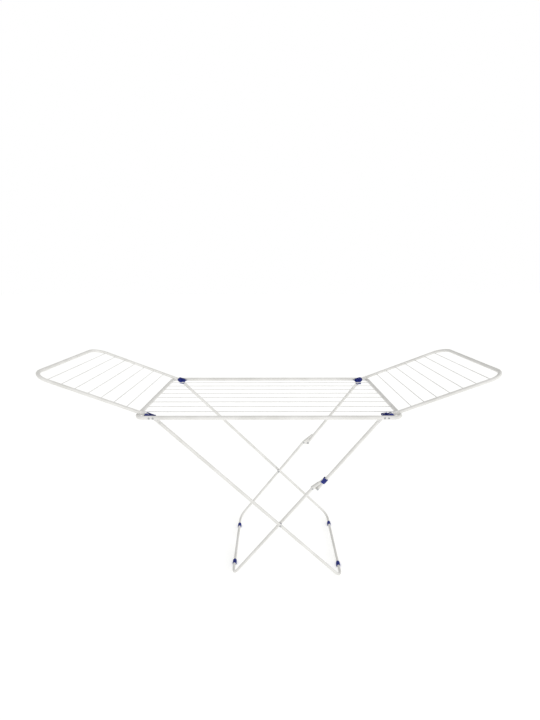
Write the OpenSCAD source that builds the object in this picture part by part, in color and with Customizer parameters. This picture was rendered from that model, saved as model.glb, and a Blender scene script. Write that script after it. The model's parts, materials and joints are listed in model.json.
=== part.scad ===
// Folding clothes drying rack: a wired centre rack with two folding wings,
// standing on crossed legs whose inner pair breaks at an over-centre knee.
// Millimetres, Z up. The origin is on the floor, under the middle of the rack.

/* [Rack] */
// Length between the centre lines of the two end rails
rack_l = 1037; // [1020:1:1045]
// Width between the centre lines of the two long rails
rack_w = 534; // [532:1:540]
// Height of the rack tube's centre line above the floor
rack_h = 882; // [875:1:890]
// Outer diameter of the rack tube
rack_d = 16; // [15:0.5:16]
// Bend radius of the rack's corners, to the tube's centre line
rack_bend = 30; // [24:1:32]
// Number of wires along the centre rack
rack_wires = 8; // [6:1:8]
// Distance between neighbouring centre wires
rack_pitch = 58; // [50:1:58]
// Diameter of the centre wires
rack_wire_d = 3.2; // [2.5:0.1:3.4]

/* [Wings] */
// Distance from a wing's hinge pin to the centre line of its outer bar
wing_l = 446; // [440:1:450]
// Width between the centre lines of a wing's two arms
wing_w = 496; // [495:0.5:497]
// Outer diameter of the wing tube
wing_d = 14; // [13:0.5:14]
// Bend radius of a wing's outer corners, to the tube's centre line
wing_bend = 62; // [40:1:80]
// Angle of an opened wing above horizontal
wing_angle = 21.5; // [20:0.5:23]
// Number of wires across each wing
wing_wires = 7; // [5:1:7]
// Distance from the hinge pin to the first wing wire
wing_first = 88.5; // [80:0.5:92]
// Distance between neighbouring wing wires
wing_pitch = 50.5; // [48:0.5:51]
// Diameter of the wing wires
wing_wire_d = 3; // [2.5:0.1:3.2]

/* [Legs] */
// Outer diameter of the leg tubes
leg_d = 14; // [13:0.5:14]
// Width between the centre lines of the outer legs
outer_w = 480; // [479:0.5:481]
// Width between the centre lines of the inner legs
inner_w = 450; // [448:0.5:451]
// Distance of the outer legs' floor bar from the middle of the rack
outer_foot = 354; // [350:1:358]
// Distance of the inner legs' floor bar from the middle of the rack
inner_foot = 186; // [182:1:190]
// Angle of the lower part of the inner legs above the floor
inner_angle = 54; // [53.8:0.1:54.2]
// Angle of the struts above the floor
strut_angle = 54.6; // [54.4:0.1:54.8]
// Distance between a strut's two pivots
strut_l = 428.8; // [426:0.1:431]
// Bend radius at the ends of the floor bars, to the tube's centre line
leg_bend = 42; // [30:1:50]
// Angle of the bent tip above the inner legs' knee
tip_angle = 12; // [10:1:14]

/* [Hinges] */
// Distance of the wing hinge pins from the middle of the rack
wing_pin_x = 478; // [476:1:480]
// Height of the wing hinge pins above the rack tube's centre line
wing_pin_up = 3; // [2.5:0.5:4]
// Distance of the leg pins from the middle of the rack
leg_pin_x = 460.5; // [459:0.5:462]
// Depth of the leg pins below the rack tube's centre line
leg_pin_down = 8; // [7.5:0.5:9]
// Diameter of the hinge pins
pin_d = 6; // [5:0.5:6]

/* [Feet] */
// Spacing of the two feet on the outer legs' floor bar
outer_feet = 310; // [280:5:340]
// Spacing of the two feet on the inner legs' floor bar
inner_feet = 280; // [250:5:310]
// Length of a foot along its floor bar
foot_l = 26; // [20:1:32]
// Thickness of the sole under the floor bar
sole = 3; // [2:0.5:4]

/* [Hidden] */
$fn = 48;
white = "#f2f1ec";
blue = "#22349a";
zinc = "#8f9296";

tube_wall = 1;
play = 0.2;                          // clearance of a bore on its pin
flat_t = 3.2;                        // thickness of a pressed tube end
flat_h = 16;                         // height of a pressed tube end
leg_flat = 28;                       // a leg's pressed length beyond its pivot
leg_flare = 14;                      // length over which it becomes round
arm_flat = 30;                       // the same two lengths on a wing's arm
arm_flare = 8;
rivet_d = 4;
cross_pin_d = 5;                     // rivets at the crossing and the knee

bar_z = sole + leg_d / 2;            // floor bars' centre height
leg_pin_z = rack_h - leg_pin_down;
wing_pin_z = rack_h + wing_pin_up;
arm_y = wing_w / 2;
outer_y = outer_w / 2;
inner_y = inner_w / 2;
rail_in = rack_w / 2 - rack_d / 2;   // inner face of a long rail
wire_end = rack_l / 2 - rack_d / 2 + 2 * tube_wall;
rivet_xs = [leg_pin_x - 11.5, leg_pin_x + 3.5];
wire_drop = 2;                       // wing wires lie this far under the arms' centre
wing_wire_end = arm_y - wing_d / 2 + 2 * tube_wall;
gap = flat_t / 2 + 0.6;              // from a pressed end's middle to a cheek
cheek_t = 3;
lug_reach = 10;

// Outer legs: a straight line from the left leg pins to the right floor bar
outer_rise = leg_pin_z - bar_z;
outer_run = leg_pin_x + outer_foot;
outer_l = norm([outer_run, outer_rise]);
outer_angle = atan2(outer_rise, outer_run);

// Crossing of the outer and inner legs, measured up each leg from its bar
foot_gap = outer_foot + inner_foot;
apex = 180 - outer_angle - inner_angle;
outer_cross = foot_gap * sin(inner_angle) / sin(apex);
inner_cross = foot_gap * sin(outer_angle) / sin(apex);

// Knee pivot, reached down the strut from the right leg pins
knee_x = leg_pin_x - strut_l * cos(strut_angle);
knee_z = leg_pin_z - strut_l * sin(strut_angle);
// The same pivot measured up and across the inner leg from its floor bar
knee_dx = knee_x + inner_foot;
knee_dz = knee_z - bar_z;
knee_up = knee_dx * cos(inner_angle) + knee_dz * sin(inner_angle);
knee_off = knee_dx * sin(inner_angle) - knee_dz * cos(inner_angle);
bend_up = knee_up - 8;               // where the inner leg bends to its tip
tip_l = 62;                          // length of the bent tip
corner_over = 0.6;                   // how much thicker the tube is at that bend
plate_t = 2;
plate_y = inner_y - leg_d / 2 - plate_t - 0.3;
clip_up = 51;                        // lock clip's distance above the knee
clip_l = 26;

// ---- shared shapes ----

// Solid rod along X
module rod_x(d, from, to) {
    translate([from, 0, 0])
        rotate([0, 90, 0])
            cylinder(d = d, h = to - from);
}

// Solid rod along Y
module rod_y(d, from, to) {
    translate([0, from, 0])
        rotate([-90, 0, 0])
            cylinder(d = d, h = to - from);
}

// Quarter bend in the XY plane, from the +X side to the +Y side of its centre
module quarter(d, r) {
    rotate_extrude(angle = 90)
        translate([r, 0])
            circle(d = d);
}

// U-shaped rod: two arms along +X joined by a bar across Y at x = reach
module u_rod(d, reach, w, r, from) {
    translate([reach, 0, 0])
        rod_y(d, r - w / 2, w / 2 - r);
    for (s = [0, 1])
        mirror([0, s, 0]) {
            translate([0, w / 2, 0])
                rod_x(d, from, reach - r);
            translate([reach - r, w / 2 - r, 0])
                quarter(d, r);
        }
}

// U-shaped tube with open ends at x = from
module u_tube(d, reach, w, r, from) {
    difference() {
        u_rod(d, reach, w, r, from);
        u_rod(d - 2 * tube_wall, reach, w, r, from - 1);
    }
}

// Pressed tube end: its pivot at the origin, becoming a round tube along +X
module pressed_end(d, bore, flat_l, flare_l) {
    difference() {
        rotate([90, 0, 0])
            linear_extrude(flat_t, center = true) {
                circle(d = flat_h);
                translate([0, -flat_h / 2])
                    square([flat_l, flat_h]);
            }
        rod_y(bore, -flat_t, flat_t);
    }
    hull() {
        translate([flat_l - 0.5, -flat_t / 2, -flat_h / 2])
            cube([0.5, flat_t, flat_h]);
        rod_x(d, flat_l + flare_l, flat_l + flare_l + 0.5, $fn = 32);
    }
}

// Rivet along Y from inside to outside; a head height of 0 leaves that end plain
module rivet(d, inner, outer, head_in, head_out, head_r = 0) {
    r = head_r > 0 ? head_r : d;
    rod_y(d, inner, outer);
    if (head_in > 0)
        rivet_head(r, inner, -1, head_in);
    if (head_out > 0)
        rivet_head(r, outer, 1, head_out);
}

module rivet_head(head_r, y, side, h) {
    ball_r = (head_r * head_r + h * h) / (2 * h);
    translate([0, y, 0])
        rotate([-90 * side, 0, 0])
            rotate_extrude()
                intersection() {
                    translate([0, h - ball_r])
                        circle(r = ball_r, $fn = 96);
                    square([head_r, h]);
                }
}

// Repeats its children at the front and, mirrored, at the rear
module both_sides() {
    for (s = [0, 1])
        mirror([0, s, 0])
            children();
}

// ---- centre rack ----

module rack_loop(d) {
    for (s = [0, 1])
        mirror([s, 0, 0])
            u_rod(d, rack_l / 2, rack_w, rack_bend, 0);
}

module rack_frame() {
    color(white)
        translate([0, 0, rack_h])
            difference() {
                rack_loop(rack_d);
                rack_loop(rack_d - 2 * tube_wall);
                for (i = [1:rack_wires])
                    translate([0, wire_y(i), 0])
                        rod_x(rack_wire_d, -wire_end, wire_end);
                for (s = [-1, 1], x = rivet_xs)
                    translate([s * x, 0, 0])
                        rod_y(rivet_d, -rack_w, rack_w);
            }
}

function wire_y(i) = (i - (rack_wires + 1) / 2) * rack_pitch;

module centre_wire(i) {
    color(white)
        translate([0, wire_y(i), rack_h])
            rod_x(rack_wire_d, -wire_end, wire_end);
}

// ---- hinge brackets ----

// Side view of a bracket's cheek, x outboard from the leg pin, z up from it
module cheek_outline(tail, low) {
    toe_r = 6;
    hull() {
        translate([wing_pin_x - leg_pin_x, wing_pin_up + leg_pin_down])
            circle(r = 10.5);
        translate([-tail, 7])
            circle(r = 4);
        translate([0, low + toe_r])
            circle(r = toe_r);
    }
}

// Plate of a bracket between two distances from the rack's middle plane
module layer(from, to) {
    translate([0, to, 0])
        rotate([90, 0, 0])
            linear_extrude(to - from)
                children();
}

// Bracket at +X, +Y, for a leg whose pressed end lies at leg_y
module hinge(leg_y) {
    web_x = 12;
    outer_tail = 13;
    inner_tail = 9;
    outer_low = -4;
    inner_low = -7;
    color(blue)
        translate([leg_pin_x, 0, leg_pin_z])
            difference() {
                union() {
                    // outer cheek against the rail, middle cheek inside the wing arm
                    layer(rail_in - cheek_t, rail_in) cheek_outline(outer_tail, outer_low);
                    layer(outer_y + gap, arm_y - gap) cheek_outline(inner_tail, inner_low);
                    // floor that joins them below the wing arm
                    layer(outer_y + gap, rail_in)
                        intersection() {
                            cheek_outline(inner_tail, outer_low);
                            translate([-30, -30])
                                square([60, 31]);
                        }
                    // boss out to the leg, and the cheek inside the leg
                    layer(leg_y + gap, outer_y + gap + 1) lug_outline();
                    layer(leg_y - gap - cheek_t, leg_y - gap) leg_cheek_outline();
                    layer(leg_y - gap - cheek_t, leg_y + gap + 1)
                        translate([web_x, -6])
                            square([5, 9]);
                }
                rod_y(pin_d, leg_y - 20, arm_y - gap + 1);
                translate([wing_pin_x - leg_pin_x, 0, wing_pin_up + leg_pin_down])
                    rod_y(pin_d, outer_y, rail_in + 1);
                for (x = rivet_xs)
                    translate([x - leg_pin_x, 0, leg_pin_down])
                        rod_y(rivet_d, arm_y + gap, rail_in + 1);
            }
}

module lug_outline() {
    hull() {
        circle(r = 8.5);
        translate([lug_reach, 0])
            circle(r = 6);
    }
}

module leg_cheek_outline() {
    hull() {
        lug_outline();
        translate([11, 7])
            circle(r = 4.5);
        translate([-8, 5])
            circle(r = 3.5);
    }
}

module hinge_front_left() { mirror([1, 0, 0]) mirror([0, 1, 0]) hinge(outer_y); }
module hinge_rear_left() { mirror([1, 0, 0]) hinge(outer_y); }
module hinge_front_right() { mirror([0, 1, 0]) hinge(inner_y); }
module hinge_rear_right() { hinge(inner_y); }

module wing_pins() {
    color(blue)
        both_sides()
            for (s = [-1, 1])
                translate([s * wing_pin_x, 0, wing_pin_z])
                    rivet(pin_d, outer_y + gap, rail_in - 0.2, 0.5, 0);
}

module leg_pins() {
    color(zinc)
        both_sides()
            for (s = [-1, 1])
                translate([s * leg_pin_x, 0, leg_pin_z]) {
                    leg_y = s < 0 ? outer_y : inner_y;
                    rivet(pin_d, leg_y - gap - cheek_t, arm_y - gap - 0.1, 1.4, 0, 4.4);
                }
}

module hinge_rivets() {
    color(zinc)
        both_sides()
            for (s = [-1, 1], x = rivet_xs)
                translate([s * x, 0, rack_h])
                    rivet(rivet_d, rail_in - cheek_t, rack_w / 2 + rack_d / 2, 1.4, 2);
}

// ---- wings ----

// Places a wing's own frame: X runs out along its arms from the hinge pins
module wing_place(side) {
    mirror([side < 0 ? 1 : 0, 0, 0])
        translate([wing_pin_x, 0, wing_pin_z])
            rotate([0, -wing_angle, 0])
                children();
}

function wing_x(i) = wing_first + (i - 1) * wing_pitch;

module wing_frame(side) {
    color(white)
        wing_place(side) {
            difference() {
                u_tube(wing_d, wing_l, wing_w, wing_bend, arm_flat + arm_flare + 0.5);
                for (i = [1:wing_wires])
                    translate([wing_x(i), 0, -wire_drop])
                        rod_y(wing_wire_d, -wing_wire_end, wing_wire_end);
            }
            both_sides()
                translate([0, arm_y, 0])
                    pressed_end(wing_d, pin_d + play, arm_flat, arm_flare);
        }
}

module wing_wire(side, i) {
    color(white)
        wing_place(side)
            translate([wing_x(i), 0, -wire_drop])
                rod_y(wing_wire_d, -wing_wire_end, wing_wire_end);
}

module left_wing_frame() { wing_frame(-1); }
module right_wing_frame() { wing_frame(1); }

// ---- outer legs ----

// Outer legs' own frame: X runs down the leg from the left leg pins
module outer_place() {
    translate([-leg_pin_x, 0, leg_pin_z])
        rotate([0, outer_angle, 0])
            children();
}

module outer_leg_frame() {
    color(white)
        outer_place() {
            difference() {
                u_tube(leg_d, outer_l, outer_w, leg_bend, leg_flat + leg_flare + 0.5);
                translate([outer_l - outer_cross, 0, 0])
                    rod_y(cross_pin_d, -outer_w, outer_w);
            }
            both_sides()
                translate([0, outer_y, 0])
                    pressed_end(leg_d, pin_d + play, leg_flat, leg_flare);
        }
}

module crossing_rivets() {
    color(zinc)
        both_sides()
            outer_place()
                translate([outer_l - outer_cross, 0, 0])
                    rivet(cross_pin_d, outer_y - leg_d / 2 + 0.1, outer_y + leg_d / 2, 0, 2.2);
}

module crossing_washers() {
    color(blue)
        both_sides()
            outer_place()
                translate([outer_l - outer_cross, 0, 0])
                    difference() {
                        rod_y(13, outer_y - leg_d / 2 - 0.6, outer_y - leg_d / 2);
                        rod_y(cross_pin_d, outer_y - leg_d, outer_y);
                    }
}

// ---- inner legs ----

// Inner legs' own frame: X runs up the leg from its floor bar
module inner_place() {
    translate([-inner_foot, 0, bar_z])
        rotate([0, -inner_angle, 0])
            children();
}

// Bent tip above the knee, leaning towards the strut
module tip_rod(d, over) {
    translate([bend_up, inner_y, 0]) {
        sphere(d = d + corner_over);
        rotate([0, tip_angle, 0])
            rod_x(d, 0, tip_l + over);
    }
}

module inner_rod(d, over) {
    mirror([1, 0, 0])
        u_rod(d, 0, inner_w, leg_bend, -bend_up);
    both_sides()
        tip_rod(d, over);
}

// Space that an opened strut takes beside the tip
module strut_space() {
    depth = 60;
    strut_place()
        translate([-20, inner_y - leg_d, leg_d / 2 + 0.4 - depth])
            cube([120, 2 * leg_d, depth]);
}

module inner_leg_frame() {
    color(white)
        difference() {
            inner_place()
                difference() {
                    inner_rod(leg_d, 0);
                    inner_rod(leg_d - 2 * tube_wall, 1);
                    translate([inner_cross, 0, 0])
                        rod_y(cross_pin_d, -inner_w, inner_w);
                    translate([bend_up - 4, 0, 0])
                        rod_y(rivet_d, -inner_w, inner_w);
                }
            both_sides()
                strut_space();
        }
}

// Outline of a knee plate, in the inner legs' frame
module plate_outline() {
    hull() {
        translate([knee_up, -knee_off])
            circle(r = 8);
        translate([bend_up - 4, 0])
            circle(r = 6.5);
        translate([knee_up + 22, -6])
            circle(r = 4);
    }
}

module knee_plate() {
    color(white)
        inner_place()
            difference() {
                layer(plate_y, plate_y + plate_t)
                    plate_outline();
                translate([knee_up, 0, -knee_off])
                    rod_y(cross_pin_d, 0, inner_w);
                translate([bend_up - 4, 0, 0])
                    rod_y(rivet_d, 0, inner_w);
            }
}

module knee_plate_rear() { knee_plate(); }
module knee_plate_front() { mirror([0, 1, 0]) knee_plate(); }

module knee_pins() {
    color(zinc)
        both_sides()
            inner_place()
                translate([knee_up, 0, -knee_off])
                    rivet(cross_pin_d, plate_y, inner_y + leg_d / 2 + 0.05, 1.6, 0.7);
}

module plate_rivets() {
    color(zinc)
        both_sides()
            inner_place()
                translate([bend_up - 4, 0, 0])
                    rivet(rivet_d, plate_y, inner_y + (leg_d + corner_over) / 2, 1.4, 0.6);
}

module inner_crossing_rivets() {
    color(zinc)
        both_sides()
            inner_place()
                translate([inner_cross, 0, 0])
                    rivet(cross_pin_d, inner_y - leg_d / 2, inner_y + leg_d / 2 - 0.2, 1.8, 0);
}

// ---- struts ----

// Struts' own frame: X runs up the strut from the knee pivot
module strut_place() {
    translate([knee_x, 0, knee_z])
        rotate([0, -strut_angle, 0])
            children();
}

module strut() {
    tube_end = strut_l - leg_flat - leg_flare - 0.5;
    color(white)
        strut_place()
            translate([0, inner_y, 0]) {
                difference() {
                    union() {
                        rod_x(leg_d, 0, tube_end);
                        sphere(d = leg_d);
                    }
                    rod_x(leg_d - 2 * tube_wall, 0, tube_end + 1);
                    sphere(d = leg_d - 2 * tube_wall);
                    rod_y(cross_pin_d + play, -leg_d, leg_d);
                }
                translate([strut_l, 0, 0])
                    mirror([1, 0, 0])
                        pressed_end(leg_d, pin_d + play, leg_flat, leg_flare);
            }
}

module strut_rear() { strut(); }
module strut_front() { mirror([0, 1, 0]) strut(); }

// Snap clip on the front strut, open towards the tip of the inner leg
module lock_clip() {
    wall = 2;
    inner_r = leg_d / 2;
    outer_jaw = 15.5;
    inner_jaw = 9.5;
    color(blue)
        mirror([0, 1, 0])
            strut_place()
                translate([clip_up - clip_l / 2, inner_y, 0])
                    difference() {
                        union() {
                            rod_x(leg_d + 2 * wall, 0, clip_l);
                            cube([clip_l, inner_r + wall, outer_jaw]);
                            translate([0, -inner_r - wall, 0])
                                cube([clip_l, inner_r + wall, inner_jaw]);
                            translate([3, -inner_r, -10])
                                cube([clip_l - 6, 9, 10]);
                        }
                        rod_x(leg_d, -1, clip_l + 1);
                        translate([-1, -inner_r - 0.4, 0])
                            cube([clip_l + 2, leg_d + 0.8, 20]);
                    }
}

// ---- feet ----

// Foot clipped round a floor bar, with a flat sole on the floor
module foot(x, y) {
    color(blue)
        translate([x, y, bar_z])
            difference() {
                union() {
                    rod_y(leg_d + 6, -foot_l / 2, foot_l / 2);
                    translate([-leg_d / 2 - 3, -foot_l / 2, -bar_z])
                        cube([leg_d + 6, foot_l, bar_z]);
                }
                rod_y(leg_d, -foot_l, foot_l);
            }
}

module outer_foot_front() { foot(outer_foot, -outer_feet / 2); }
module outer_foot_rear() { foot(outer_foot, outer_feet / 2); }
module inner_foot_front() { foot(-inner_foot, -inner_feet / 2); }
module inner_foot_rear() { foot(-inner_foot, inner_feet / 2); }

// ---- nodes ----

rack_frame();
for (i = [1:rack_wires])
    centre_wire(i);
hinge_front_left();
hinge_rear_left();
hinge_front_right();
hinge_rear_right();
wing_pins();
leg_pins();
hinge_rivets();
left_wing_frame();
right_wing_frame();
for (i = [1:wing_wires]) {
    wing_wire(-1, i);
    wing_wire(1, i);
}
outer_leg_frame();
outer_foot_front();
outer_foot_rear();
crossing_rivets();
crossing_washers();
inner_leg_frame();
inner_foot_front();
inner_foot_rear();
inner_crossing_rivets();
knee_plate_front();
knee_plate_rear();
knee_pins();
plate_rivets();
strut_front();
strut_rear();
lock_clip();
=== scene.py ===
# A folding clothes drying rack of coated steel tube and wire, with moulded plastic fittings and plated
# rivets. Each section is one piece or group of pieces, in the order that the rack is put together.
import json
import math

import bmesh
import bpy
from mathutils import Matrix, Vector


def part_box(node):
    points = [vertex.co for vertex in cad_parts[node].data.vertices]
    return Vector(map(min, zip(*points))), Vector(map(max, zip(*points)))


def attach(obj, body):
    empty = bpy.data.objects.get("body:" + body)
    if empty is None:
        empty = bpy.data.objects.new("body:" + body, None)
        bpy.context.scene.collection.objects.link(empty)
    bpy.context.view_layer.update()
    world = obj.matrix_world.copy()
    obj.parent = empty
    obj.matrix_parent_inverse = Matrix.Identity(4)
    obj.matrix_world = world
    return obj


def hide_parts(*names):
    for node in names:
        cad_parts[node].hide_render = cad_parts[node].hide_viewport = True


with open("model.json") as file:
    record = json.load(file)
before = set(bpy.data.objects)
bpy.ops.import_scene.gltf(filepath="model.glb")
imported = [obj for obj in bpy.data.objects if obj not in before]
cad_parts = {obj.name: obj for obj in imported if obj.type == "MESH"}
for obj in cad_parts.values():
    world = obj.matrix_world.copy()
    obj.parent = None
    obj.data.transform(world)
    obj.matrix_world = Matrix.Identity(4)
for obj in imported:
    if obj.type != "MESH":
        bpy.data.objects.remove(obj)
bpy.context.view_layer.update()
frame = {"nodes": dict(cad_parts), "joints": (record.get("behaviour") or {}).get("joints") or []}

# ---- Camera ----
# A wide lens in front of the rack, a little below head height and looking down about 23 degrees. A small
# lens shift sets how low the rack stands in the picture.
camera = bpy.data.objects.new("camera", bpy.data.cameras.new("camera"))
bpy.context.scene.collection.objects.link(camera)
bpy.context.scene.camera = camera
camera.location = (0.0162, -1.4589, 1.3824)
camera.rotation_euler = (math.radians(90 - 22.83), math.radians(0.06), 0)
camera.data.sensor_width = 36
camera.data.lens = 16.64
camera.data.shift_x = -0.0041
camera.data.shift_y = 0.0806

# ---- Floor and light ----
# A plain pale floor that glows a little like a light table, an even bright surround, and two large soft
# lamps set low, one in front and one on the right.


def linear(hex_colour):
    """An sRGB hex colour as linear RGBA."""
    parts = [int(hex_colour[i : i + 2], 16) / 255 for i in (1, 3, 5)]
    return [c / 12.92 if c <= 0.04045 else ((c + 0.055) / 1.055) ** 2.4 for c in parts] + [1.0]


def new_material(name):
    """A node material with nothing in it yet."""
    material = bpy.data.materials.new(name)
    material.use_nodes = True
    material.node_tree.nodes.clear()
    return material


def add(material, kind, inputs=None, stops=()):
    """Adds a shader node. An input is a value, or another node's output to link; a colour ramp has
    stops, each a position and an sRGB hex colour."""
    made = material.node_tree.nodes.new("ShaderNode" + kind)
    for name, value in (inputs or {}).items():
        if isinstance(value, bpy.types.NodeSocket):
            material.node_tree.links.new(value, made.inputs[name])
        else:
            made.inputs[name].default_value = value
    for i, (position, colour) in enumerate(stops):
        made.color_ramp.elements[i].position = position
        made.color_ramp.elements[i].color = linear(colour)
    return made


# Painted board: matt off-white, with a faint mottle from the roller, about 170 mm across.
board = new_material("matt_painted_board")
board_place = add(board, "TexCoord").outputs["Object"]
board_mottle = add(board, "TexNoise", {"Vector": board_place, "Scale": 6.0})
board_colour = add(
    board,
    "ValToRGB",
    {"Fac": board_mottle.outputs["Fac"]},
    stops=((0.3, "#f6f6f5"), (0.7, "#fbfbfa")),
)
board_paint = add(
    board,
    "BsdfPrincipled",
    {
        "Base Color": board_colour.outputs["Color"],
        "Roughness": 0.8,
        "Emission Color": board_colour.outputs["Color"],
        "Emission Strength": 0.33,
    },
)
add(board, "OutputMaterial", {"Surface": board_paint.outputs["BSDF"]})

floor_half = 30
floor_build = bmesh.new()
bmesh.ops.create_grid(floor_build, x_segments=1, y_segments=1, size=floor_half)
floor_mesh = bpy.data.meshes.new("floor")
floor_build.to_mesh(floor_mesh)
floor_build.free()
floor_mesh.materials.append(board)
floor = bpy.data.objects.new("floor", floor_mesh)
bpy.context.scene.collection.objects.link(floor)

# The surround looks white, but lights the rack less, so that its white tubes stand out.
studio = bpy.data.worlds.new("studio")
bpy.context.scene.world = studio
studio.use_nodes = True
studio.node_tree.nodes.clear()
studio_seen = add(studio, "LightPath")
studio_strength = add(
    studio,
    "MapRange",
    {"Value": studio_seen.outputs["Is Camera Ray"], "To Min": 0.7, "To Max": 1.0},
)
studio_white = add(
    studio,
    "Background",
    {"Color": linear("#ffffff"), "Strength": studio_strength.outputs["Result"]},
)
add(studio, "OutputWorld", {"Surface": studio_white.outputs["Background"]})
bpy.context.scene.view_settings.view_transform = "Standard"


def far_lamp(name, way, strength, spread):
    """A large lamp far off, whose light travels one way; spread is how wide it looks, in degrees."""
    lamp = bpy.data.objects.new(name, bpy.data.lights.new(name, "SUN"))
    bpy.context.scene.collection.objects.link(lamp)
    lamp.rotation_euler = Vector(way).to_track_quat("-Z", "Y").to_euler()
    lamp.data.energy = strength
    lamp.data.angle = math.radians(spread)


far_lamp("front_lamp", (-0.1, 1.0, -0.2), 0.6, 30)
far_lamp("right_lamp", (-1.0, 0.3, -0.25), 0.6, 30)

# ---- Centre rack tube ----
# One loop of steel tube with bent corners, butt welded in the middle of the rear rail and then epoxy
# powder coated. The coat bakes to a warm semi-gloss white with a fine orange peel.
MM = 0.001
X, Y, Z = Vector((1, 0, 0)), Vector((0, 1, 0)), Vector((0, 0, 1))
rack_lo, rack_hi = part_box("rack_frame")
rack_r = (rack_hi.z - rack_lo.z) / 2
rack_z = (rack_hi.z + rack_lo.z) / 2
rack_end_x = rack_hi.x - rack_r
rail_y = rack_hi.y - rack_r
rack_bend = 30 * MM
weld_top, weld_slope = 1.2 * MM, 0.8 * MM
weld_rise = 1.03
TUBE_SIDES = 40
BEND_STEPS = 16
SHARP_ANGLE = math.radians(32)


def powder_coat(name, thin, thick, peel, gloss):
    """Baked epoxy powder: a cream white that drifts in tone, scuffed dull in places, with orange peel."""
    material = new_material(name)
    place = add(material, "TexCoord").outputs["Object"]
    # the tone drifts over hand-wide patches, where the coat is thin or thick
    drift = add(material, "TexNoise", {"Vector": place, "Scale": 1 / (80 * MM), "Detail": 3.0})
    # scuffs some millimetres long, drawn coarser than they are so that they show
    scuffs = add(
        material,
        "TexNoise",
        {"Vector": place, "Scale": 1 / (9 * MM), "Detail": 6.0, "Roughness": 0.65},
    )
    dulled = add(
        material,
        "MapRange",
        {
            "Value": scuffs.outputs["Fac"],
            "From Min": 0.4,
            "From Max": 0.75,
            "To Min": gloss,
            "To Max": gloss + 0.2,
        },
    )
    # the dimples of orange peel are under a millimetre, drawn coarser so that they show
    skin = add(material, "TexNoise", {"Vector": place, "Scale": 1 / peel, "Detail": 2.0})
    bump = add(
        material,
        "Bump",
        {"Height": skin.outputs["Fac"], "Strength": 0.25, "Distance": 0.2 * MM},
    )
    tone = add(
        material,
        "ValToRGB",
        {"Fac": drift.outputs["Fac"]},
        stops=((0.35, thin), (0.65, thick)),
    )
    coat = add(
        material,
        "BsdfPrincipled",
        {
            "Base Color": tone.outputs["Color"],
            "Roughness": dulled.outputs["Result"],
            "Normal": bump.outputs["Normal"],
            "IOR": 1.5,
        },
    )
    add(material, "OutputMaterial", {"Surface": coat.outputs["BSDF"]})
    return material


tube_coat = powder_coat("epoxy_powder_coated_tube", "#d8d7d3", "#e3e2df", 2 * MM, 0.3)


def ring(build, radius, at, along):
    """An open ring of edges at a point, square to a direction."""
    turned = Matrix.Translation(at) @ Vector(along).to_track_quat("Z", "Y").to_matrix().to_4x4()
    made = bmesh.ops.create_circle(
        build, cap_ends=False, radius=radius, segments=TUBE_SIDES, matrix=turned
    )
    return list(dict.fromkeys(e for v in made["verts"] for e in v.link_edges))


def corners(edges):
    """The vertices of some edges."""
    return list(dict.fromkeys(v for e in edges for v in e.verts))


def middle(edges):
    """The mean of a ring's vertices."""
    points = [v.co for v in corners(edges)]
    return sum(points, Vector()) / len(points)


def run(build, edges, move, factor=1.0):
    """Draws a ring out by a straight move, scales it there, and gives back the new ring."""
    made = bmesh.ops.extrude_edge_only(build, edges=edges)["geom"]
    verts = [g for g in made if isinstance(g, bmesh.types.BMVert)]
    bmesh.ops.translate(build, vec=move, verts=verts)
    moved = set(verts)
    far = [g for g in made if isinstance(g, bmesh.types.BMEdge) and moved.issuperset(g.verts)]
    if factor != 1.0:
        to_middle = Matrix.Translation(-middle(far))
        bmesh.ops.scale(build, vec=(factor,) * 3, space=to_middle, verts=corners(far))
    return far


def turn(build, edges, centre, axis, angle, steps=BEND_STEPS):
    """Draws a ring round a bend and gives back the new ring."""
    made = bmesh.ops.spin(
        build,
        geom=edges + corners(edges),
        cent=centre,
        axis=axis,
        angle=angle,
        steps=steps,
        use_duplicate=False,
    )
    return [g for g in made["geom_last"] if isinstance(g, bmesh.types.BMEdge)]


def reflect(build, axis):
    """Adds the mirror image across the plane that is square to an axis through the origin."""
    everything = build.verts[:] + build.edges[:] + build.faces[:]
    bmesh.ops.mirror(build, geom=everything, matrix=Matrix(), merge_dist=0.01 * MM, axis=axis)


def piece(name, build, material, body, node):
    """Makes a piece of a finished bmesh: it rides on a body and stands for its CAD node."""
    bmesh.ops.remove_doubles(build, verts=build.verts, dist=0.005 * MM)
    bmesh.ops.recalc_face_normals(build, faces=build.faces)
    mesh = bpy.data.meshes.new(name)
    build.to_mesh(mesh)
    build.free()
    mesh.shade_smooth()
    mesh.set_sharp_from_angle(angle=SHARP_ANGLE)
    mesh.materials.append(material)
    made = bpy.data.objects.new(name, mesh)
    bpy.context.scene.collection.objects.link(made)
    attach(made, body)
    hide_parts(node)


rack_build = bmesh.new()
corner_x, corner_y = rack_end_x - rack_bend, rail_y - rack_bend
loop = ring(rack_build, rack_r * weld_rise, Vector((0, rail_y, rack_z)), X)
loop = run(rack_build, loop, X * weld_top)
loop = run(rack_build, loop, X * weld_slope, 1 / weld_rise)
loop = run(rack_build, loop, X * (corner_x - weld_top - weld_slope))
loop = turn(rack_build, loop, (corner_x, corner_y, rack_z), Z, -math.pi / 2)
loop = run(rack_build, loop, Y * -2 * corner_y)
loop = turn(rack_build, loop, (corner_x, -corner_y, rack_z), Z, -math.pi / 2)
run(rack_build, loop, X * -corner_x)
reflect(rack_build, "X")
piece("rack_loop_tube", rack_build, tube_coat, "rack", "rack_frame")

# ---- Centre wires ----
# Straight drawn steel wire, let into holes in the end rails with a small fillet of weld and coat at each
# end. Thin wire is dipped, so its coat is a little thicker and glossier than the tubes'.
wire_coat = powder_coat("dip_coated_wire", "#d8d7d4", "#e3e2e0", 1.5 * MM, 0.22)
WIRE_SIDES = 16
fillet_l = 4 * MM
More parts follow.
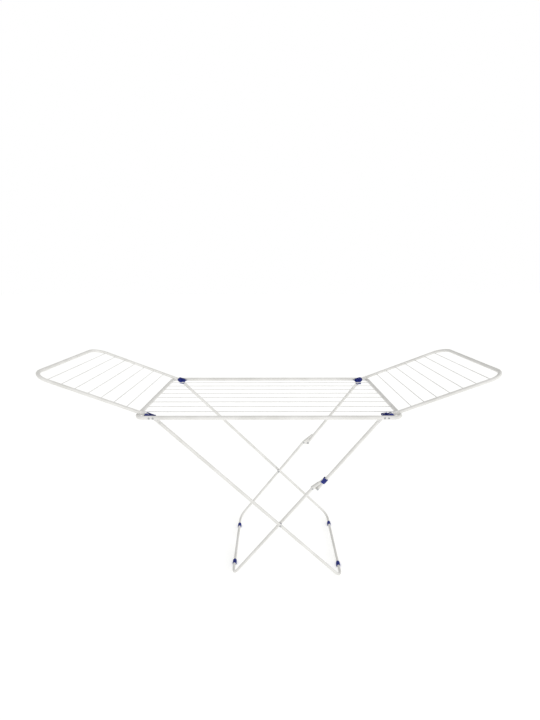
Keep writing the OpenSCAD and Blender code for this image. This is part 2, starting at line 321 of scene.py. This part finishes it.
# steps of the fillet: how far from the tube's face, over its length, and how thick, over the wire
FILLET = ((-0.15, 1.9), (0.15, 1.5), (0.5, 1.12), (1, 1))


def merge(build, part, place=Matrix()):
    """Moves a finished part to its place and adds it to a build."""
    bmesh.ops.transform(part, matrix=place, verts=part.verts)
    passing = bpy.data.meshes.new("passing")
    part.to_mesh(passing)
    part.free()
    build.from_mesh(passing)
    bpy.data.meshes.remove(passing)


def revolved(outline, sides=32):
    """A closed solid round the Y axis; the outline is (distance along Y, radius) from end to end."""
    part = bmesh.new()
    verts = [part.verts.new((radius, distance, 0)) for distance, radius in outline]
    edges = [part.edges.new(pair) for pair in zip(verts, verts[1:])]
    bmesh.ops.spin(
        part,
        geom=verts + edges,
        cent=(0, 0, 0),
        axis=Y,
        angle=2 * math.pi,
        steps=sides,
        use_merge=True,
        use_duplicate=False,
    )
    bmesh.ops.remove_doubles(part, verts=part.verts, dist=0.002 * MM)
    return part


def wire(half, face, radius):
    """A wire along Y, let into a tube's wall at face, half being its half length."""
    outline = [(half, 0), (half, radius)]
    outline += [(face - fillet_l * away, radius * swell) for away, swell in FILLET]
    return revolved([(-y, r) for y, r in outline] + outline[::-1], WIRE_SIDES)


for name in sorted(n for n in frame["nodes"] if n.startswith("centre_wire_")):
    lo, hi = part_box(name)
    wire_build = bmesh.new()
    place = Matrix.Translation((0, (lo.y + hi.y) / 2, rack_z)) @ Matrix.Rotation(-math.pi / 2, 4, "Z")
    merge(wire_build, wire(hi.x, rack_end_x - rack_r, (hi.z - lo.z) / 2), place)
    number = name.rsplit("_", 1)[1]
    piece(f"rack_wire_{number}", wire_build, wire_coat, "rack", name)

# ---- Hinge brackets ----
# One at each end of each long rail: two cheeks that hold the wing arm, joined under it, and a lug inside
# for the leg. Injection moulded polypropylene in dark royal blue: smooth, waxy, with a fine moulded grain
# and soft bright edges.
joint_at = {j["name"]: Vector(j["pos_m"]) for j in frame["joints"]}
leg_pin = joint_at["strut_swing"]
wing_pin = joint_at["right_wing_fold"]
wing_r = 7 * MM
leg_r = 7 * MM
arm_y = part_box("right_wing_frame")[1].y - wing_r
outer_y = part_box("outer_leg_frame")[1].y - leg_r
inner_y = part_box("inner_leg_frame")[1].y - leg_r
rail_in = rail_y - rack_r
pin_gap = 2.2 * MM
cheek_t = 3 * MM
# the inner cheek fills the room between the outer legs and the wing arms
cheek_in, cheek_out = outer_y + pin_gap, arm_y - pin_gap

# Polypropylene: an even dark blue with faint flow marks, a fine spark-eroded grain, and a dull rub in
# places from handling.
blue_plastic = new_material("moulded_polypropylene")
blue_place = add(blue_plastic, "TexCoord").outputs["Object"]
# flow marks a centimetre or so wide run through the colour
blue_flow = add(
    blue_plastic,
    "TexNoise",
    {"Vector": blue_place, "Scale": 1 / (14 * MM), "Detail": 2.0, "Distortion": 1.5},
)
blue_tone = add(
    blue_plastic,
    "ValToRGB",
    {"Fac": blue_flow.outputs["Fac"]},
    stops=((0.35, "#131f6a"), (0.65, "#1a2b84")),
)
blue_rub = add(
    blue_plastic, "TexNoise", {"Vector": blue_place, "Scale": 1 / (5 * MM), "Detail": 5.0}
)
blue_rubbed = add(
    blue_plastic,
    "MapRange",
    {
        "Value": blue_rub.outputs["Fac"],
        "From Min": 0.35,
        "From Max": 0.7,
        "To Min": 0.28,
        "To Max": 0.46,
    },
)
# the grain is about 0.3 mm across, drawn at 0.6 mm so that it shows
blue_grain = add(blue_plastic, "TexVoronoi", {"Vector": blue_place, "Scale": 1 / (0.6 * MM)})
blue_bump = add(
    blue_plastic,
    "Bump",
    {"Height": blue_grain.outputs["Distance"], "Strength": 0.2, "Distance": 0.05 * MM},
)
blue_moulding = add(
    blue_plastic,
    "BsdfPrincipled",
    {
        "Base Color": blue_tone.outputs["Color"],
        "Roughness": blue_rubbed.outputs["Result"],
        "Normal": blue_bump.outputs["Normal"],
        "IOR": 1.49,
        "Specular IOR Level": 0.3,
    },
)
add(blue_plastic, "OutputMaterial", {"Surface": blue_moulding.outputs["BSDF"]})


def soften(build, size):
    """Bevels the edges at which a part turns by more than 50 degrees."""
    hard = [e for e in build.edges if e.calc_face_angle(0) > math.radians(50)]
    bmesh.ops.bevel(
        build, geom=hard, offset=size, segments=2, profile=0.5, affect="EDGES", material=-1
    )


def prism(circles, low, high, edge, border=0.0, recess=0.0, top=None):
    """A bar along Y whose outline is drawn tight round circles (x, z, radius), with rounded rims.

    Its two ends may be sunk inside a border, and it may be cut off flat above a height. It is made at
    a thousand times its size, because the hull loses faces of thin ribs otherwise, and then shrunk."""
    part = bmesh.new()
    for y in (low / MM, high / MM):
        for x, z, radius in circles:
            place = Matrix.Translation((x / MM, y, z / MM)) @ Matrix.Rotation(math.pi / 2, 4, "X")
            bmesh.ops.create_circle(
                part, cap_ends=False, radius=radius / MM, segments=32, matrix=place
            )
    hull = bmesh.ops.convex_hull(part, input=part.verts)
    inside = [g for g in hull["geom_interior"] if isinstance(g, bmesh.types.BMVert)]
    bmesh.ops.delete(part, geom=inside, context="VERTS")
    bmesh.ops.delete(part, geom=[e for e in part.edges if not e.link_faces], context="EDGES")
    bmesh.ops.delete(part, geom=[v for v in part.verts if not v.link_faces], context="VERTS")
    bmesh.ops.dissolve_limit(
        part, angle_limit=math.radians(1), verts=part.verts, edges=part.edges, delimit=set()
    )
    if top is not None:
        everything = part.verts[:] + part.edges[:] + part.faces[:]
        bmesh.ops.bisect_plane(
            part, geom=everything, plane_co=(0, 0, top / MM), plane_no=Z, clear_outer=True
        )
        bmesh.ops.holes_fill(part, edges=[e for e in part.edges if len(e.link_faces) == 1])
    bmesh.ops.recalc_face_normals(part, faces=part.faces)
    if recess:
        for face in [f for f in part.faces if abs(f.normal.y) > 0.99]:
            bmesh.ops.inset_individual(part, faces=[face], thickness=border / MM)
            bmesh.ops.inset_individual(
                part, faces=[face], thickness=edge / MM / 2, depth=-recess / MM
            )
    soften(part, edge / MM)
    bmesh.ops.scale(part, vec=(MM, MM, MM), verts=part.verts)
    return part


def barrel(low, high, radius, edge, bore=0):
    """Outline of a barrel with chamfered rims, from low to high; without a bore it is solid."""
    outline = [
        (low, bore),
        (low, radius - edge),
        (low + edge, radius),
        (high - edge, radius),
        (high, radius - edge),
        (high, bore),
    ]
    return outline + [(low, bore)] if bore else outline


def bracket(leg_y):
    """A rear right bracket whose leg end lies at leg_y; X and Z from the leg pin, Y from the middle."""
    build = bmesh.new()
    eye = wing_pin - leg_pin
    eye_r = 10.5 * MM
    toe_r = 6 * MM
    high_toe, low_toe = (0, 2 * MM, toe_r), (0, -MM, toe_r)
    outer = [(eye.x, eye.z, eye_r), (-13 * MM, 7 * MM, 4 * MM), high_toe]
    inner = [(eye.x, eye.z, eye_r), (-9 * MM, 7 * MM, 4 * MM), low_toe]
    trough = inner[:2] + [high_toe]
    lug = [(0, 0, 8.5 * MM), (10 * MM, 0, 6 * MM)]
    leg_cheek = lug + [(11 * MM, 7 * MM, 4.5 * MM), (-8 * MM, 5 * MM, 3.5 * MM)]
    lug_in, lug_out = leg_y - pin_gap - cheek_t, leg_y - pin_gap
    merge(build, prism(outer, rail_in - cheek_t, rail_in, edge=0.7 * MM))
    merge(
        build,
        prism(inner, cheek_in, cheek_out, edge=0.7 * MM, border=1.6 * MM, recess=0.9 * MM),
    )
    merge(build, prism(trough, cheek_out - MM, rail_in - MM, edge=0.6 * MM, top=MM))
    merge(
        build,
        prism(leg_cheek, lug_in, lug_out, edge=0.7 * MM, border=1.4 * MM, recess=0.6 * MM),
    )
    # the lug goes on outside the leg only where the leg leaves room for it
    if cheek_in - leg_y > 3 * MM:
        merge(build, prism(lug, leg_y + pin_gap, cheek_in + MM, edge=0.6 * MM))
    # a thin web past the leg's end joins both cheeks
    web = [(x * MM, z * MM, 0.8 * MM) for x in (12.8, 16.2) for z in (-5.2, 2.2)]
    merge(build, prism(web, lug_in, cheek_in + MM, edge=0.3 * MM))
    # fins on the sunk faces of the leg cheek and the inner cheek
    fin_r, fin_edge = 0.5 * MM, 0.2 * MM
    for x, z in ((-9, 6), (2, 9), (8, -1)):
        fin = [(x * MM, z * MM, fin_r), (0, 0, fin_r)]
        merge(build, prism(fin, lug_in + 0.2 * MM, lug_in + 2 * MM, fin_edge))
    for x, z in ((-4, 7), (4, -2)):
        fin = [(x * MM, z * MM, fin_r), (eye.x, eye.z, fin_r)]
        merge(build, prism(fin, cheek_in + 0.2 * MM, cheek_out - 0.2 * MM, fin_edge))
    # raised rings round both pins
    for x, z, low, high in (
        (eye.x, eye.z, cheek_in, cheek_out),
        (0, 0, cheek_in, cheek_out),
        (0, 0, lug_in, lug_in + cheek_t),
    ):
        collar = revolved(barrel(low, high, radius=6.2 * MM, edge=0.3 * MM))
        merge(build, collar, Matrix.Translation((x, 0, z)))
    return build


def mirrored(x_sign, y_sign):
    """A mirror image across the rack's middle planes."""
    return Matrix.Diagonal((x_sign, y_sign, 1, 1))


for end, x_sign, leg_y in (("left", -1, outer_y), ("right", 1, inner_y)):
    for side, y_sign in (("front", -1), ("rear", 1)):
        bracket_build = bracket(leg_y)
        place = mirrored(x_sign, y_sign) @ Matrix.Translation(leg_pin)
        bmesh.ops.transform(bracket_build, matrix=place, verts=bracket_build.verts)
        node = f"hinge_{side}_{end}"
        piece(f"bracket_{side}_{end}", bracket_build, blue_plastic, "rack", node)

# ---- Pins and rail rivets ----
# Cold headed steel, with a dimple where each was set: four pins for the legs, and two rivets through the
# rail for each bracket. The wings turn on studs that are moulded with the brackets.

# Zinc plate: dull grey metal under a cloudy bloom, with clouds about 2 mm across, duller where it is pale.
zinc = new_material("zinc_plated_steel")
zinc_place = add(zinc, "TexCoord").outputs["Object"]
zinc_bloom = add(zinc, "TexNoise", {"Vector": zinc_place, "Scale": 1 / (2 * MM), "Detail": 4.0})
zinc_marks = add(
    zinc, "Bump", {"Height": zinc_bloom.outputs["Fac"], "Strength": 0.3, "Distance": 0.05 * MM}
)
zinc_dulled = add(
    zinc, "MapRange", {"Value": zinc_bloom.outputs["Fac"], "To Min": 0.25, "To Max": 0.55}
)
zinc_tone = add(
    zinc,
    "ValToRGB",
    {"Fac": zinc_bloom.outputs["Fac"]},
    stops=((0.3, "#9a9c9f"), (0.7, "#c3c5c7")),
)
zinc_plate = add(
    zinc,
    "BsdfPrincipled",
    {
        "Base Color": zinc_tone.outputs["Color"],
        "Metallic": 1.0,
        "Roughness": zinc_dulled.outputs["Result"],
        "Normal": zinc_marks.outputs["Normal"],
    },
)
add(zinc, "OutputMaterial", {"Surface": zinc_plate.outputs["BSDF"]})
HEAD_STEPS = 6


def head(base, rise, radius):
    """Outline of a domed head from its dimpled top, at base + rise, to its rim at base."""
    top = base + rise
    dimple = [(top - rise * 0.45, 0), (top - rise * 0.4, radius * 0.22), (top, radius * 0.34)]
    turns = [math.pi / 2 * (i + 2) / (HEAD_STEPS + 1) for i in range(HEAD_STEPS)]
    return dimple + [(base + rise * math.cos(t) ** 0.8, radius * math.sin(t)) for t in turns]


def rivet(shank_r, head_r, low, high, rise_low=0, rise_high=0):
    """Outline of a rivet along Y from low to high; a rise of 0 leaves that end without a head."""
    start = head(low, -rise_low, head_r) if rise_low else [(low, 0)]
    end = head(high, rise_high, head_r)[::-1] if rise_high else [(high, 0)]
    return start + [(low, shank_r), (high, shank_r)] + end


def rivets(name, node, body, fixed, material=zinc):
    """One piece for a node's rivets, given as a place and an outline for each on the rear side."""
    build = bmesh.new()
    for at, outline in fixed:
        for y_sign in (-1, 1):
            place = mirrored(1, y_sign) @ Matrix.Translation((at.x, 0, at.z))
            merge(build, revolved(outline), place)
    piece(name, build, material, body, node)


def at_left(pin):
    """The mirror image at the left end of a pin at the right end."""
    return Vector((-pin.x, pin.y, pin.z))


wing_stud = rivet(
    shank_r=3 * MM, head_r=6 * MM, low=cheek_in, high=rail_in - 0.2 * MM, rise_low=0.5 * MM
)
wing_studs = [(at_left(wing_pin), wing_stud), (wing_pin, wing_stud)]
rivets(
    "wing_hinge_studs",
    "wing_pins",
    "rack",
    wing_studs,
    material=blue_plastic,
)

leg_pins = []
for at, leg_y in ((at_left(leg_pin), outer_y), (leg_pin, inner_y)):
    pin = rivet(
        shank_r=3 * MM,
        head_r=4.4 * MM,
        low=leg_y - pin_gap - cheek_t,
        high=cheek_out - 0.1 * MM,
        rise_low=1.4 * MM,
    )
    leg_pins.append((at, pin))
rivets("leg_hinge_pins", "leg_pins", "rack", leg_pins)

rail_rivet = rivet(
    shank_r=2 * MM,
    head_r=4 * MM,
    low=rail_in - cheek_t,
    high=rail_y + rack_r,
    rise_low=1.4 * MM,
    rise_high=2 * MM,
)
rail_rivets = [
    (Vector((x_sign * (leg_pin.x + offset), 0, rack_z)), rail_rivet)
    for x_sign in (-1, 1)
    for offset in (-11.5 * MM, 3.5 * MM)
]
rivets("rail_rivets", "hinge_rivets", "rack", rail_rivets)

# ---- Wing tubes ----
# Each wing is one length of steel tube bent to a wide U. The ends of its arms are pressed flat and
# drilled for the hinge pins. Powder coated like the rack.
wing_l = 446 * MM
wing_bend = 62 * MM
wing_angle = math.radians(21.5)
arm_flat, arm_flare = 30 * MM, 8 * MM
flat_t, flat_h = 3.2 * MM, 16 * MM
FLARE_STEPS = 8
ROUND_STEPS = 8
# a round end turns nearly a quarter circle, and the small hole that is left at its pole is filled
ROUND_TURNS = [math.pi / 2 * 0.97 * i / ROUND_STEPS for i in range(ROUND_STEPS + 1)]


def squared(value):
    """Bows a cosine or sine outwards, which turns a circle into a round-cornered bar."""
    return math.copysign(abs(value) ** 0.4, value)


def press(edges, side_y, share, height):
    """Flattens a round ring by a share, down to a bar flat_t thick, with its height scaled."""
    for v in corners(edges):
        across, up = v.co.y - side_y, v.co.z
        angle = math.atan2(up, across)
        flat = flat_t / 2 * squared(math.cos(angle)), flat_h / 2 * height * squared(math.sin(angle))
        v.co.y = side_y + across * (1 - share) + flat[0] * share
        v.co.z = up * (1 - share) + flat[1] * share


def press_end(build, edges, side_y, flat_l, flare_l):
    """Ends a tube that arrives along -X: a flare, a flat as far as the pivot at X = 0, a round end."""
    pressed = []
    for i in range(FLARE_STEPS):
        edges = run(build, edges, X * -flare_l / FLARE_STEPS)
        done = (i + 1) / FLARE_STEPS
        pressed.append((edges, done * done * (3 - 2 * done), 1))
    edges = run(build, edges, X * -flat_l)
    pressed.append((edges, 1, 1))
    for last, turned in zip(ROUND_TURNS, ROUND_TURNS[1:]):
        step = flat_h / 2 * (math.sin(turned) - math.sin(last))
        edges = run(build, edges, X * -step)
        pressed.append((edges, 1, math.cos(turned)))
    for ring_edges, share, height in pressed:
        press(ring_edges, side_y, share, height)
    bmesh.ops.edgeloop_fill(build, edges=edges)


def half_u(build, radius, reach, half_w, bend_r):
    """Half of a U of tube whose bar lies at X = reach, from the bar's middle round its corner."""
    edges = ring(build, radius, Vector((reach, 0, 0)), Y)
    edges = run(build, edges, Y * (half_w - bend_r))
    return turn(build, edges, (reach - bend_r, half_w - bend_r, 0), Z, math.pi / 2)


# each wing is made with X out along its arms from the hinge pins, then tipped up and set on them
wing_place = Matrix.Translation(wing_pin) @ Matrix.Rotation(-wing_angle, 4, "Y")
for end, x_sign in (("left", -1), ("right", 1)):
    wing_build = bmesh.new()
    arm = half_u(wing_build, wing_r, wing_l, arm_y, wing_bend)
    arm = run(wing_build, arm, X * -(wing_l - wing_bend - arm_flat - arm_flare))
    press_end(wing_build, arm, arm_y, arm_flat, arm_flare)
    reflect(wing_build, "Y")
    place = mirrored(x_sign, 1) @ wing_place
    bmesh.ops.transform(wing_build, matrix=place, verts=wing_build.verts)
    body = f"{end}_wing"
    piece(f"{body}_tube", wing_build, tube_coat, body, f"{body}_frame")

# ---- Wing wires ----
# Seven shorter wires in each wing, drawn and dipped like the rack's. Their ends are let into the inner
# sides of the arms with the same fillets.


def box_middle(node):
    """The middle of a CAD node's box, in the rack's middle plane."""
    lo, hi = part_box(node)
    return Vector(((lo.x + hi.x) / 2, 0, (lo.z + hi.z) / 2))


for name in sorted(n for n in frame["nodes"] if "_wing_wire_" in n):
    lo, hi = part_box(name)
    wire_build = bmesh.new()
    place = Matrix.Translation(box_middle(name))
    merge(wire_build, wire(hi.y, arm_y - wing_r, (hi.z - lo.z) / 2), place)
    body, number = name.split("_wire_")
    piece(f"{body}_line_{number}", wire_build, wire_coat, body, name)

# ---- Outer legs ----
# One U of steel tube: its bar lies on the floor at the right, and its pressed ends hang on the left
# pins. Powder coated.
leg_bend = 42 * MM
leg_flat, leg_flare = 28 * MM, 14 * MM
outer_pin = joint_at["leg_fold"]
outer_lo, outer_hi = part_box("outer_leg_frame")
outer_bar = Vector((outer_hi.x - leg_r, 0, outer_lo.z + leg_r))


def aimed(start, end):
    """The place of a part made along X, whose origin goes to start and whose X points at end."""
    way = end - start
    return Matrix.Translation(start) @ Matrix.Rotation(math.atan2(-way.z, way.x), 4, "Y")


outer_l = (outer_bar - outer_pin).length
outer_build = bmesh.new()
leg = half_u(outer_build, leg_r, outer_l, outer_y, leg_bend)
leg = run(outer_build, leg, X * -(outer_l - leg_bend - leg_flat - leg_flare))
press_end(outer_build, leg, outer_y, leg_flat, leg_flare)
reflect(outer_build, "Y")
bmesh.ops.transform(outer_build, matrix=aimed(outer_pin, outer_bar), verts=outer_build.verts)
piece("outer_leg_tube", outer_build, tube_coat, "outer_legs", "outer_leg_frame")

# ---- Inner legs ----
# A second U of tube, its bar on the floor at the left. Above the knee each tip bends towards the strut
# and is cut off along the strut's side, which leaves its open end showing. Powder coated.
knee = joint_at["knee_break"]
inner_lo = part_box("inner_leg_frame")[0]
inner_bar = Vector((inner_lo.x + leg_r, 0, inner_lo.z + leg_r))
inner_angle = math.radians(54)
tip_angle = math.radians(12)
tip_l = 62 * MM
tip_bend = 30 * MM
tip_gap = 0.4 * MM
leg_wall = 1 * MM
bore_depth = 12 * MM
knee_below = 8 * MM
TIP_STEPS = 8
inner_place = Matrix.Translation(inner_bar) @ Matrix.Rotation(-inner_angle, 4, "Y")
knee_in_leg = inner_place.inverted() @ knee
bend_at = knee_in_leg.x - knee_below
strut_way = (leg_pin - knee).normalized()
strut_side = Vector((-strut_way.z, 0, strut_way.x))

inner_build = bmesh.new()
leg = ring(inner_build, leg_r, Vector(), Y)
leg = run(inner_build, leg, Y * (inner_y - leg_bend))
leg = turn(inner_build, leg, (leg_bend, inner_y - leg_bend, 0), Z, -math.pi / 2)
ease = tip_bend * math.tan(tip_angle / 2)
leg = run(inner_build, leg, X * (bend_at - leg_bend - ease))
leg = turn(inner_build, leg, (bend_at - ease, inner_y, -tip_bend), Y, tip_angle, TIP_STEPS)
tip_way = Matrix.Rotation(tip_angle, 3, "Y") @ X
leg = run(inner_build, leg, tip_way * (tip_l - ease))
bmesh.ops.transform(inner_build, matrix=inner_place, verts=inner_build.verts)
everything = inner_build.verts[:] + inner_build.edges[:] + inner_build.faces[:]
bmesh.ops.bisect_plane(
    inner_build,
    geom=everything,
    plane_co=knee + strut_side * (leg_r + tip_gap),
    plane_no=strut_side,
    clear_inner=True,
)
# the open edges are the cut tip's and, in the middle plane, those that the mirror image joins
cut_edges = [e for e in inner_build.edges if len(e.link_faces) == 1]
rim = [e for e in cut_edges if min(v.co.y for v in e.verts) > MM]
rim = run(inner_build, rim, Vector(), 1 - leg_wall / leg_r)
rim = run(inner_build, rim, inner_place.to_3x3() @ tip_way * -bore_depth)
bmesh.ops.edgeloop_fill(inner_build, edges=rim)
reflect(inner_build, "Y")
piece("inner_leg_tube", inner_build, tube_coat, "inner_legs", "inner_leg_frame")

# ---- Leg crossing ----
# A rivet through each crossing with a thin plastic spacer between the tubes; its outer half turns with
# the outer legs and its inner half with the inner legs.
crossing = box_middle("crossing_rivets")
cross_pin_r, cross_head_r = 2.5 * MM, 5 * MM
spacer_r, spacer_t, spacer_edge = 6.5 * MM, 0.6 * MM, 0.15 * MM
outer_face = outer_y - leg_r

outer_half = rivet(
    cross_pin_r, cross_head_r, outer_face + 0.1 * MM, outer_y + leg_r, rise_high=2.2 * MM
)
inner_half = rivet(
    cross_pin_r, cross_head_r, inner_y - leg_r, inner_y + leg_r - 0.2 * MM, rise_low=1.8 * MM
)
rivets("crossing_rivet_heads", "crossing_rivets", "outer_legs", [(crossing, outer_half)])
rivets("crossing_rivet_tails", "inner_crossing_rivets", "inner_legs", [(crossing, inner_half)])

spacer = [
    (outer_face - spacer_t, cross_pin_r),
    (outer_face - spacer_t, spacer_r - spacer_edge),
    (outer_face - spacer_t + spacer_edge, spacer_r),
    (outer_face, spacer_r),
    (outer_face, cross_pin_r),
    (outer_face - spacer_t, cross_pin_r),
]
rivets(
    "crossing_spacers",
    "crossing_washers",
    "outer_legs",
    [(crossing, spacer)],
    material=blue_plastic,
)

# ---- Struts ----
# Two straight tubes from the right pins down to the knee: pressed flat at the top, closed round at the
# knee. Powder coated.
strut_l = (leg_pin - knee).length
for side, y_sign in (("front", -1), ("rear", 1)):
    strut_build = bmesh.new()
    start = ring(strut_build, leg_r, Vector((strut_l, inner_y, 0)), X)
    tube = run(strut_build, start, X * -(strut_l - leg_flat - leg_flare))
    press_end(strut_build, tube, inner_y, leg_flat, leg_flare)
    tube = start
    for last, turned in zip(ROUND_TURNS, ROUND_TURNS[1:]):
        step = leg_r * (math.sin(turned) - math.sin(last))
        tube = run(strut_build, tube, X * step, math.cos(turned) / math.cos(last))
    bmesh.ops.edgeloop_fill(strut_build, edges=tube)
    place = mirrored(1, y_sign) @ aimed(leg_pin, knee)
    bmesh.ops.transform(strut_build, matrix=place, verts=strut_build.verts)
    piece(f"strut_tube_{side}", strut_build, tube_coat, "struts", f"strut_{side}")

# ---- Knee plates, pins and fixings ----
# Stamped steel plates with rounded edges, coated with the legs, riveted inside the inner legs. Each
# carries the pin that its strut turns on.
plate_t = 2 * MM
plate_gap = 0.3 * MM
plate_y = inner_y - leg_r - plate_t - plate_gap
plate_circles = [
    (knee_in_leg.x, knee_in_leg.z, 8 * MM),
    (bend_at - 4 * MM, 0, 6.5 * MM),
    (knee_in_leg.x + 22 * MM, -6 * MM, 4 * MM),
]
for side, y_sign in (("front", -1), ("rear", 1)):
    plate_build = bmesh.new()
    plate = prism(
        plate_circles,
        plate_y,
        plate_y + plate_t,
        edge=0.4 * MM,
        border=2.2 * MM,
        recess=0.25 * MM,
    )
    merge(plate_build, plate, mirrored(1, y_sign) @ inner_place)
    node = f"knee_plate_{side}"
    piece(f"stamped_{node}", plate_build, tube_coat, "inner_legs", node)

fixing = box_middle("plate_rivets")
inner_face = inner_y + leg_r
knee_pin = rivet(
    cross_pin_r,
    cross_head_r,
    plate_y,
    inner_face + 0.05 * MM,
    rise_low=1.6 * MM,
    rise_high=0.7 * MM,
)
plate_fixing = rivet(
    shank_r=2 * MM,
    head_r=4 * MM,
    low=plate_y,
    high=inner_face + 0.3 * MM,
    rise_low=1.4 * MM,
    rise_high=0.6 * MM,
)
rivets("knee_pivot_pins", "knee_pins", "inner_legs", [(knee, knee_pin)])
rivets("plate_fixings", "plate_rivets", "inner_legs", [(fixing, plate_fixing)])

# ---- Lock clip ----
# A sprung C of the same blue polypropylene, moulded round the front strut. Its open jaws snap over the
# inner leg's tip to hold the knee, and a pad with four ribs on its side gives the thumb a grip.
clip_up = 51 * MM
clip_l = 26 * MM
clip_wall = 2 * MM
outer_jaw, inner_jaw = 15.5 * MM, 9.5 * MM
clip_gap = 0.4 * MM
CLIP_STEPS = 24
CLIP_RIBS = 4
clip_build = bmesh.new()
jaw_in, jaw_out = leg_r + clip_gap, leg_r + clip_wall
lip = [clip_build.verts.new((0, y, outer_jaw)) for y in (jaw_in, jaw_out)]
strip = [clip_build.edges.new(lip)]
strip = run(clip_build, strip, Z * -outer_jaw)
strip = turn(clip_build, strip, (0, 0, 0), X, -math.pi, CLIP_STEPS)
run(clip_build, strip, Z * inner_jaw)
bmesh.ops.remove_doubles(clip_build, verts=clip_build.verts, dist=0.002 * MM)
drawn = bmesh.ops.extrude_face_region(clip_build, geom=clip_build.faces[:])["geom"]
drawn = [g for g in drawn if isinstance(g, bmesh.types.BMVert)]
bmesh.ops.translate(clip_build, vec=X * clip_l, verts=drawn)
bmesh.ops.recalc_face_normals(clip_build, faces=clip_build.faces)
soften(clip_build, 0.6 * MM)
# the thumb pad and its ribs, on the round side of the C
pad_x = 4.4 * MM
pad = [(x, z, 1.2 * MM) for x in (pad_x, clip_l - pad_x) for z in (-8.6 * MM, -3 * MM)]
merge(clip_build, prism(pad, -leg_r, 2 * MM, edge=0.5 * MM))
for i in range(CLIP_RIBS):
    rib_x = clip_l * (i + 2) / (CLIP_RIBS + 3)
    rib = [(rib_x, z, 0.7 * MM) for z in (-9.4 * MM, -6 * MM)]
    merge(clip_build, prism(rib, -leg_r * 0.9, 1.6 * MM, edge=0.3 * MM))
# a raised ledge along the outside of each jaw, near its lip
for jaw_side, jaw in ((1, outer_jaw), (-1, inner_jaw)):
    ledge = [(x, jaw - 3.2 * MM, 0.9 * MM) for x in (3 * MM, clip_l - 3 * MM)]
    low, high = sorted((jaw_side * (jaw_out - 0.4 * MM), jaw_side * (jaw_out + 0.5 * MM)))
    merge(clip_build, prism(ledge, low, high, edge=0.25 * MM))
clip_place = (
    mirrored(1, -1)
    @ aimed(knee, leg_pin)
    @ Matrix.Translation((clip_up - clip_l / 2, inner_y, 0))
)
bmesh.ops.transform(clip_build, matrix=clip_place, verts=clip_build.verts)
piece("snap_lock", clip_build, blue_plastic, "struts", "lock_clip")

# ---- Feet ----
# Blue polypropylene saddles clipped round the floor bars: a flat sole, three raised bands over the top,
# and a thin sleeve at each end that grips the tube.
foot_half = 13 * MM
foot_shoulder = 2.5 * MM
foot_r = leg_r + 3 * MM
sole_r = 1.2 * MM
band_rise, band_half, band_step = 0.4 * MM, 1 * MM, 6.5 * MM
sleeve = barrel(
    -foot_half, foot_half, radius=leg_r + 1.4 * MM, edge=0.5 * MM, bore=leg_r - 0.1 * MM
)
for leg_name, body, bar in (("outer", "outer_legs", outer_bar), ("inner", "inner_legs", inner_bar)):
    for side in ("front", "rear"):
        node = f"{leg_name}_foot_{side}"
        lo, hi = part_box(node)
        foot_build = bmesh.new()
        sole = sole_r - bar.z
        edge_x = foot_r - sole_r
        saddle = [(0, 0, foot_r), (edge_x, sole, sole_r), (-edge_x, sole, sole_r)]
        saddle_half = foot_half - foot_shoulder
        merge(foot_build, prism(saddle, -saddle_half, saddle_half, edge=0.8 * MM))
        # the bands stop short of the floor
        band = [(0, band_rise, foot_r)]
        band += [
            (x, sole + band_rise, sole_r) for x in (edge_x + band_rise, -edge_x - band_rise)
        ]
        for band_y in (-band_step, 0, band_step):
            low, high = band_y - band_half, band_y + band_half
            merge(foot_build, prism(band, low, high, edge=0.35 * MM))
        merge(foot_build, revolved(sleeve, TUBE_SIDES))
        place = Matrix.Translation((bar.x, (lo.y + hi.y) / 2, bar.z))
        bmesh.ops.transform(foot_build, matrix=place, verts=foot_build.verts)
        piece(f"{leg_name}_leg_foot_{side}", foot_build, blue_plastic, body, node)
